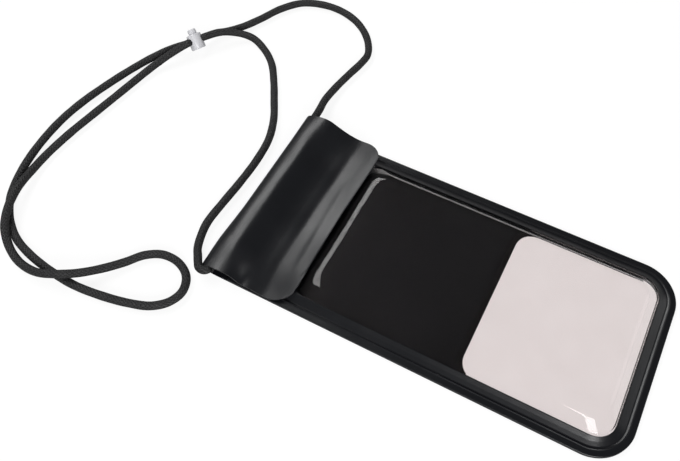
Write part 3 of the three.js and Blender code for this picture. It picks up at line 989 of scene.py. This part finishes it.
    def build(self, finishes: Finishes) -> None:
        line = self.route()
        cord = self.tube("neck_cord_braid", line, True)
        finish_piece(
            cord, finishes.braid, Slot.CORD_FABRIC, Body.POUCH,
            "cord_right", "cord_loop", "cord_left", "cord_clamped",
        )
        x = np.linspace(-self.size.half_width, self.size.half_width, 55)
        dip = self.inner_dip * ramp(-x, self.dip_start, self.dip_length)
        span = np.column_stack([x, np.full_like(x, self.exit_y), self.exit_z - dip])
        inner = self.tube("roll_cord_braid", span, False)
        finish_piece(inner, finishes.braid, Slot.CORD_FABRIC, Body.POUCH, "cord_in_roll")


@dataclass(frozen=True)
class CordLock:
    """Round barrel with a sprung button, both milky plastic, and a slot that the cord passes."""

    place: LockPlace
    length: float = 9.4 * MM
    wall: float = 1.35 * MM
    bottom: float = 0.8 * MM
    rim: float = 0.9 * MM
    edge: float = 0.7 * MM
    hole_chamfer: float = 0.15 * MM
    button_radius: float = 2.6 * MM
    button_proud: float = 3.2 * MM
    button_round: float = 0.8 * MM
    travel: float = 1.4 * MM
    foot_low: float = 2.9 * MM
    slot_low: float = 3.7 * MM
    slot_high: float = 7.3 * MM
    slot_width: float = 4.0 * MM
    slot_corner: float = 1.0 * MM
    spring_wire: float = 0.4 * MM
    spring_radius: float = 2.45 * MM
    spring_low: float = 1.3 * MM
    spring_high: float = 2.4 * MM
    spring_turns: float = 2.0
    spring_kept: float = 0.33
    segments: int = 96

    def fillet(self, corner: Sequence[float], inward: Sequence[float], radius: float) -> np.ndarray:
        """Return a rounded corner of a turned profile.

        Args:
            corner: Where the two straight sides would meet, as (radius, height).
            inward: The signs of the two directions from the corner to the fillet's centre.
            radius: The fillet's radius.

        Returns:
            Five points of a quarter circle that starts on the level side.
        """
        turn = np.linspace(0, math.pi / 2, 5)
        centre = np.array(corner) + np.array(inward) * radius
        return centre - np.column_stack([np.sin(turn) * inward[0], np.cos(turn) * inward[1]]) * radius

    def turned(self, name: str, profile: np.ndarray) -> bpy.types.Object:
        """Turn a closed profile of (radius, height) about the barrel's axis.

        A point is base + height × barrel + radius × (cos(w) along + sin(w) across).

        Args:
            name: The piece's name.
            profile: The profile, from the axis out, up and back to the axis.

        Returns:
            The turned piece, in place.
        """
        along, across, barrel = self.place.axes()
        turn = np.linspace(0, 2 * math.pi, self.segments, endpoint=False)
        ring = np.cos(turn)[:, None] * along + np.sin(turn)[:, None] * across
        points = (
            self.place.base()
            + profile[:, 1][:, None, None] * barrel
            + profile[:, 0][:, None, None] * ring[None, :, :]
        )
        quads = grid_faces(len(profile), self.segments, 0, True)
        return new_piece(name, points.reshape(-1, 3), quads, weld=1e-6)

    def slot_tool(self, high: float) -> bpy.types.Object:
        """Return the slot's shape, drawn through the lock along the cord."""
        along, across, barrel = self.place.axes()
        ring = rounded_rectangle(self.slot_width / 2, self.slot_low, high, self.slot_corner, 2, 2, 6)
        reach = np.array([-2.0, 2.0]) * self.place.barrel_radius
        points = (
            self.place.base()
            + reach[:, None, None] * along
            + ring[None, :, 0, None] * across
            + ring[None, :, 1, None] * barrel
        )
        return cutting_tool("slot_tool", points)

    def coil(self) -> bpy.types.Object:
        """Make the spring: a coil of round wire between the barrel's floor and the button's foot.

        The wire's middle is base + height × barrel + radius × outward, and a ring about it is
        that + wire / 2 × (cos(a) outward + sin(a) barrel).

        Returns:
            The coil, in place.
        """
        along, across, barrel = self.place.axes()
        turn = np.linspace(0, 2 * math.pi * self.spring_turns, 121)[:, None]
        outward = np.cos(turn) * along + np.sin(turn) * across
        height = np.linspace(self.spring_low, self.spring_high, len(turn))[:, None]
        middle = self.place.base() + height * barrel + self.spring_radius * outward
        around = np.linspace(0, 2 * math.pi, 12, endpoint=False)[None, :, None]
        ring = np.cos(around) * outward[:, None, :] + np.sin(around) * barrel
        return new_piece("lock_spring_coil", *tube_mesh(middle[:, None, :] + ring * self.spring_wire / 2))

    def build(self, finishes: Finishes) -> None:
        """Make the barrel, the button, and the coil."""
        r, e = self.place.barrel_radius, self.edge
        hole = self.button_radius + self.place.gap
        bore = r - self.wall
        top, chamfer = self.length, self.hole_chamfer
        barrel_line = np.vstack(
            [
                [[0, 0]], self.fillet((r, 0), (-1, 1), e), self.fillet((r, top), (-1, -1), e)[::-1],
                [[hole + chamfer, top], [hole, top - chamfer], [hole, top - self.rim]],
                [[bore, top - self.rim], [bore, self.bottom], [0, self.bottom]],
            ]
        )
        barrel = self.turned("lock_barrel_shell", barrel_line)
        cut_with(barrel, self.slot_tool(self.slot_high))
        mark_sharp(barrel, 40)
        finish_piece(barrel, finishes.lock, Slot.LOCK_PLASTIC, Body.POUCH, "cord_lock_barrel")
        inner = bore - self.place.gap
        shoulder = top - self.rim - self.place.gap
        cap = top + self.button_proud
        button_line = np.vstack(
            [
                [[0, self.foot_low], [inner, self.foot_low], [inner, shoulder]],
                [[self.button_radius, shoulder]],
                self.fillet((self.button_radius, cap), (-1, -1), self.button_round)[::-1],
                [[0, cap]],
            ]
        )
        button = self.turned("lock_button_cap", button_line)
        cut_with(button, self.slot_tool(self.slot_high + self.travel))
        mark_sharp(button, 40)
        finish_piece(button, finishes.lock, Slot.LOCK_PLASTIC, Body.BUTTON, "cord_lock_button")
        coil = self.coil()
        finish_piece(coil, finishes.spring, Slot.SPRING_STEEL, Body.POUCH, "cord_lock_spring")
        axis = self.place.axes()[2]
        floor = self.place.base() + axis * self.bottom
        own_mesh(coil)


# The pouch


@dataclass(frozen=True)
class BackFilm:
    """Black sheet along the back, round the roll and on over the front as the flap."""

    size: PouchSize
    thickness: float = 0.7 * MM
    roll_y: float = 103.8 * MM
    roll_radius: float = 6.2 * MM
    flap_end: float = 60.8 * MM
    flap_corner_left: float = 12.0 * MM
    flap_corner_right: float = 10.5 * MM
    spacing: float = 1.0 * MM
    columns: int = 120
    rear_window_length: float = 74.1 * MM
    roll_turn: float = math.radians(50.0)
    roll_swell: float = 2.2 * MM
    roll_fall: float = 0.14
    swell_start: float = 10.0 * MM
    swell_fade: float = 44.0 * MM
    side_start: float = 34.0 * MM
    flap_y: tuple[float, ...] = (
        105.6, 104.0, 101.5, 98.8, 96.4, 93.0, 87.5, 83.0, 79.0, 75.6, 74.4, 69.0, 65.0, 60.8,
    )
    middle_z: tuple[float, ...] = (
        11.85, 12.3, 12.7, 12.85, 12.3, 11.1, 8.95, 7.95, 7.5, 7.1, 7.2, 7.9, 8.35, 8.95,
    )
    right_z: tuple[float, ...] = (
        12.5, 13.2, 13.95, 14.45, 14.6, 14.05, 11.35, 9.4, 8.25, 7.9, 7.9, 8.2, 8.4, 8.7,
    )
    left_z: tuple[float, ...] = (
        7.9, 8.35, 8.75, 8.8, 8.65, 7.9, 5.6, 4.4, 3.8, 3.5, 3.5, 3.75, 4.0, 4.35,
    )
    flap_low: float = 1.0 * MM
    flap_start: float = 97.8 * MM
    flap_fade: float = 8.0 * MM
    right_reach: float = 1.4 * MM
    reach_start: float = 65.0 * MM
    reach_fade: float = 30.0 * MM
    left_ease: float = 0.055
    left_ease_y: float = 75.0 * MM
    left_ease_start: float = 4.0 * MM
    left_ease_fade: float = 24.0 * MM
    crease_y: float = 89.0 * MM
    crease_start: float = 42.0 * MM
    crease_width: float = 3.4 * MM
    crease_depth: float = 1.3 * MM
    groove_y: float = 67.4 * MM
    groove_middle: float = -6.0 * MM
    groove_half: float = 18.0 * MM
    groove_fade: float = 16.0 * MM
    groove_wander: float = 0.6 * MM
    groove_width: float = 1.5 * MM
    groove_depth: float = 0.10 * MM
    crowding: float = 0.94
    edge_round: float = 0.22 * MM

    def fold_line(self) -> np.ndarray:
        """Return the sheet's outer side along its length, as rows of y and z."""
        s = self.size
        base = np.column_stack([np.linspace(s.bottom, self.roll_y, 215), np.zeros(215)])
        turn = np.linspace(-math.pi / 2, self.roll_turn, 30)[1:]
        roll = np.column_stack(
            [
                self.roll_y + self.roll_radius * np.cos(turn),
                self.roll_radius + self.roll_radius * np.sin(turn),
            ]
        )
        knots = np.vstack([roll[-4], roll[-1], np.array([self.flap_y, self.middle_z]).T * MM])
        flap = centripetal_curve(knots, 12)[13:]
        return np.vstack([base, roll, flap])

    def half_at(self, line: np.ndarray, on_flap: np.ndarray, flap_corner: float) -> np.ndarray:
        """Return how far the sheet reaches to one side along its length, less its round corners.

        With d the distance to the nearer end and R its corner's radius, it is
        W − R + sqrt(R² − (R − d)²) for d < R.
        """
        s = self.size
        end = np.where(on_flap, self.flap_end, s.bottom)
        radius = np.where(on_flap, flap_corner, s.corner)
        into = np.minimum(np.abs(line[:, 0] - end), radius)
        return s.half_width - radius + np.sqrt(np.maximum(radius**2 - (radius - into) ** 2, 0.0))

    def reach_across(self, line: np.ndarray, on_flap: np.ndarray) -> np.ndarray:
        """Return every grid point's x: shares of the two half widths, closer together at the edges."""
        left = self.half_at(line, on_flap, self.flap_corner_left)[:, None]
        right = self.half_at(line, on_flap, self.flap_corner_right)[:, None]
        most = self.crowding * math.pi / 2
        share = np.sin(np.linspace(-1, 1, self.columns) * most)[None, :] / math.sin(most)
        return np.where(share < 0, left * share, right * share)

    def side_weight(self, out: np.ndarray) -> np.ndarray:
        """Return how far a point counts as part of one side, from how far out to it the point is."""
        return ramp(out, self.side_start, self.size.half_width - self.side_start)

    def side_scale(self, x: np.ndarray, line_y: np.ndarray) -> np.ndarray:
        """Return what the middle's height is multiplied by to blend it into the sides' curves."""
        order = np.argsort(self.flap_y)
        ys, middle, right, left = (
            np.array(q)[order] * MM for q in (self.flap_y, self.middle_z, self.right_z, self.left_z)
        )
        scale = np.ones_like(x)
        for out, curve in ((x, right), (-x, left)):
            rise = np.interp(line_y, ys, curve / middle)
            scale = scale + self.side_weight(out) * (rise - 1)[:, None]
        return scale

    def relief(self, x: np.ndarray, y: np.ndarray) -> np.ndarray:
        """Return what the flap's small forms add to its height.

        They are small long waves, a shallow groove, a lower left part of the free edge and a crease
        in the left edge. The groove is D exp(−((y − Y) / W)²) deep, with Y wandering to and fro,
        and the crease has the same form.
        """
        wave = 0.14 * MM * np.sin(x * 92 + y * 55 + 0.6) + 0.10 * MM * np.sin(x * 210 - y * 120 + 1.9)
        away = (y - self.groove_y - self.groove_wander * np.sin(x * 60 + 0.8)) / self.groove_width
        ends = ramp(np.abs(x - self.groove_middle), self.groove_half, self.groove_fade)
        groove = self.groove_depth * np.exp(-(away**2)) * (1 - ends)
        near_left = ramp(-x, self.left_ease_start, self.left_ease_fade) * (1 - self.side_weight(-x))
        lower = self.left_ease * np.clip(self.left_ease_y - y, 0, None) * near_left
        past = (y - self.crease_y) / self.crease_width
        at_edge = ramp(-x, self.crease_start, self.size.half_width - self.crease_start)
        crease = self.crease_depth * np.exp(-(past**2)) * at_edge
        return wave - groove - lower - crease

    def grid(self) -> tuple[np.ndarray, np.ndarray]:
        """Return the outer and inner side of the sheet, as rows × columns × 3.

        On the roll and the flap the height is blended from the middle's curve to the curve of
        each side, and towards its right end the flap reaches a little further over the front.
        Towards its left end the roll is fuller behind.
        """
        line = resample(self.fold_line(), self.spacing)
        total = arc_lengths(line)
        on_flap = (line[:, 1] > self.flap_low) & (total > total[-1] / 2)
        lifted = (line[:, 1] > 0)[:, None]
        x = self.reach_across(line, on_flap)
        y = np.repeat(line[:, :1], self.columns, axis=1)
        z = np.repeat(line[:, 1:2], self.columns, axis=1)
        z = np.where(lifted, z * self.side_scale(x, line[:, 0]), z)
        flap = on_flap[:, None] * (1 - ramp(y, self.flap_start, self.flap_fade))
        to_right = smooth_step(x / self.size.half_width) * (1 - ramp(y, self.reach_start, self.reach_fade))
        y = y - self.right_reach * flap * to_right
        z = z + flap * self.relief(x, y)
        beyond = np.clip((y - self.roll_y) / self.roll_radius, 0, 1)
        swell = ramp(-x, self.swell_start, self.swell_fade)
        y = y + self.roll_swell * beyond * swell
        z = np.where(lifted, z * (1 - self.roll_fall * beyond**2 * swell), z)
        outer = np.stack([x, y, z], -1)
        normal = np.cross(np.gradient(outer, axis=1), np.gradient(outer, axis=0))
        normal /= np.linalg.norm(normal, axis=2)[:, :, None]
        return outer, outer + normal * self.thickness

    def hole_tool(self) -> bpy.types.Object:
        """Return the rear window's shape, drawn through the back."""
        s = self.size
        low = s.window_low()
        ring = rounded_rectangle(
            s.window_half(), low, low + self.rear_window_length, s.window_corner, 2, 2, 14
        )
        heights = np.array([-2.0, 2.4]) * MM
        points = np.array([np.column_stack([ring, np.full(len(ring), z)]) for z in heights])
        return cutting_tool("hole_tool", points)

    def build(self, finishes: Finishes) -> None:
        """Make the sheet."""
        outer, inner = self.grid()
        piece = sheet_piece("back_film", outer[:, ::-1], inner[:, ::-1], weld=1e-6)
        cut_with(piece, self.hole_tool())
        round_edges(piece, self.edge_round)
        mark_sharp(piece, 45)
        finish_piece(piece, finishes.black_film, Slot.BLACK_FILM, Body.POUCH, "rear_panel")


@dataclass(frozen=True)
class FrontFrame:
    """Black moulded sheet round the front window: weld band, bead, groove and bevel."""

    size: PouchSize
    thickness: float = 0.9 * MM
    edge_round: float = 0.16 * MM
    lowest: float = 1.0 * MM
    mouth_corner: float = 0.6 * MM
    ripple: float = 0.05 * MM
    ripple_fade: float = 4.0 * MM
    inset: tuple[float, ...] = (0, 0.25, 2.6, 3.0, 3.5, 4.0, 4.3, 4.7, 6.6, 8.6, 9.2, 11.0, 60.0)
    height: tuple[float, ...] = (1.6, 1.9, 1.9, 1.98, 2.25, 1.98, 1.84, 1.9, 2.85, 4.05, 4.2, 4.2, 4.2)
    counts: tuple[int, int, int] = (48, 130, 22)
    columns: int = 84

    def depth_inside(self, x: np.ndarray, y: np.ndarray) -> np.ndarray:
        """Return how far a point is inside the pouch's outline, which is open at the mouth.

        With qx = |x| − (W − R) and qy = bottom + R − y, it is
        R − |max(q, 0)| − min(max(qx, qy), 0).
        """
        s = self.size
        qx = np.abs(x) - (s.half_width - s.corner)
        qy = s.bottom + s.corner - y
        outside = np.hypot(np.maximum(qx, 0), np.maximum(qy, 0))
        return s.corner - outside - np.minimum(np.maximum(qx, qy), 0)

    def build(self, finishes: Finishes) -> None:
        """Make the frame, as rings between the outline and the window's hole."""
        s, counts = self.size, self.counts
        outer = rounded_rectangle(s.half_width, s.bottom, s.mouth, s.corner, *counts)
        squared = rounded_rectangle(s.half_width, s.bottom, s.mouth, self.mouth_corner, *counts)
        outer = np.where(outer[:, 1:] > 0, squared, outer)
        hole = rounded_rectangle(s.window_half(), s.window_low(), s.window_high, s.window_corner, *counts)
        share = np.linspace(0, 1, self.columns)[:, None, None]
        flat = outer[None] * (1 - share) + hole[None] * share
        depth = self.depth_inside(flat[:, :, 0], flat[:, :, 1])
        top = np.interp(depth, np.array(self.inset) * MM, np.array(self.height) * MM)
        ripple = self.ripple * np.sin(flat[:, :, 1] * 130 + flat[:, :, 0] * 40)
        top = top + ripple * smooth_step(depth / self.ripple_fade)
        bottom = np.maximum(top - self.thickness, self.lowest)
        upper = np.concatenate([flat, top[:, :, None]], -1)
        lower = np.concatenate([flat, bottom[:, :, None]], -1)
        piece = sheet_piece("front_film_frame", upper[::-1], lower[::-1], closed=True, weld=1e-6)
        piece.data.flip_normals()
        round_edges(piece, self.edge_round)
        mark_sharp(piece, 50)
        finish_piece(piece, finishes.black_film, Slot.BLACK_FILM, Body.POUCH, "front_frame")


@dataclass(frozen=True)
class FrontWindow:
    """Clear moulded film that rises through the frame to a flat top over the pocket."""

    size: PouchSize
    thickness: float = 0.5 * MM
    mouth_stretch: float = 11.5 / 7.0
    wave_low: float = 6.0 * MM
    wave_fade: float = 4.0 * MM
    counts: tuple[int, int, int] = (48, 110, 16)
    inset: tuple[float, ...] = (
        -1.6, 0.0, 0.3, 0.55, 0.9, 2.0, 3.5, 5.0, 6.2, 7.4, 8.6, 10.0, 11.5, 13.0,
    )
    height: tuple[float, ...] = (
        2.2, 3.0, 3.5, 4.1, 4.6, 5.65, 7.05, 8.4, 9.15, 9.6, 9.8, 9.88, 9.9, 9.9,
    )

    def ring(self, inset: float, z: float) -> np.ndarray:
        """Return the window's outline moved inwards, at a height."""
        s = self.size
        mouth = inset * self.mouth_stretch if inset > 0 else inset
        line = rounded_rectangle(
            s.window_half() - inset,
            s.window_low() + inset,
            s.window_high - mouth,
            s.window_corner - min(inset, 0.0),
            *self.counts,
        )
        return np.column_stack([line, np.full(len(line), z)])

    def flat_top(self, ring: np.ndarray) -> np.ndarray:
        """Return rows of points from the left side of a ring to its right side."""
        across, upward, corner = self.counts
        side = upward + 2 * corner + 1
        right = np.arange(across, across + side)
        left = np.arange(len(ring), len(ring) - side, -1) % len(ring)
        share = np.linspace(0, 1, across + 1)[None, :, None]
        return ring[left][:, None] * (1 - share) + ring[right][:, None] * share

    def build(self, finishes: Finishes) -> None:
        """Make the film as rings up to the flat top, and the top as rows across it."""
        profile = centripetal_curve(np.array([self.inset, self.height]).T * MM, 4)
        rings = np.array([self.ring(*point) for point in profile])
        top = self.flat_top(rings[-1])
        vertices = np.vstack([rings.reshape(-1, 3), top.reshape(-1, 3)])
        x, y, z = vertices.T
        wave = 0.16 * MM * np.sin(x * 75 + 0.4) * np.sin(y * 48 + 1.1) + 0.08 * MM * np.sin(x * 160 - y * 90)
        vertices[:, 2] = z + wave * ramp(z, self.wave_low, self.wave_fade)
        rows, count = rings.shape[:2]
        quads = np.vstack(
            [grid_faces(rows, count, 0, True), grid_faces(top.shape[0], top.shape[1], rows * count)]
        )
        piece = new_piece("clear_front_film", vertices, quads, weld=1e-6)
        wall = piece.modifiers.new("wall", "SOLIDIFY")
        wall.thickness = self.thickness
        wall.offset = -1.0
        keep_modified(piece)
        mark_sharp(piece, 60)
        finish_piece(piece, finishes.clear_film, Slot.CLEAR_FILM, Body.POUCH, "front_window")


@dataclass(frozen=True)
class Closure:
    """Press seals and hook-and-loop strips, which stay as the CAD has them."""

    seals: int = 3

    def build(self, finishes: Finishes) -> None:
        """Dress the nodes."""
        for index in range(1, self.seals + 1):
            dress_node(f"seal_channel_{index}", finishes.seal)
            dress_node(f"seal_rib_{index}", finishes.seal)
        dress_node("hook_strip", finishes.strip)
        dress_node("loop_strip", finishes.strip)
        dress_node("rear_window", finishes.clear_film)


def main() -> None:
    """Build the camera, the cord and the rest of the object."""
    logging.basicConfig(level=logging.INFO, format="%(name)s: %(message)s")
    studio = Studio()
    studio.camera()
    finishes = Finishes()
    place = LockPlace()
    size = PouchSize()
    NeckCord(place, size).build(finishes)
    CordLock(place).build(finishes)
    BackFilm(size).build(finishes)
    FrontFrame(size).build(finishes)
    FrontWindow(size).build(finishes)
    Closure().build(finishes)
    studio.build()


if __name__ == "__main__":
    main()
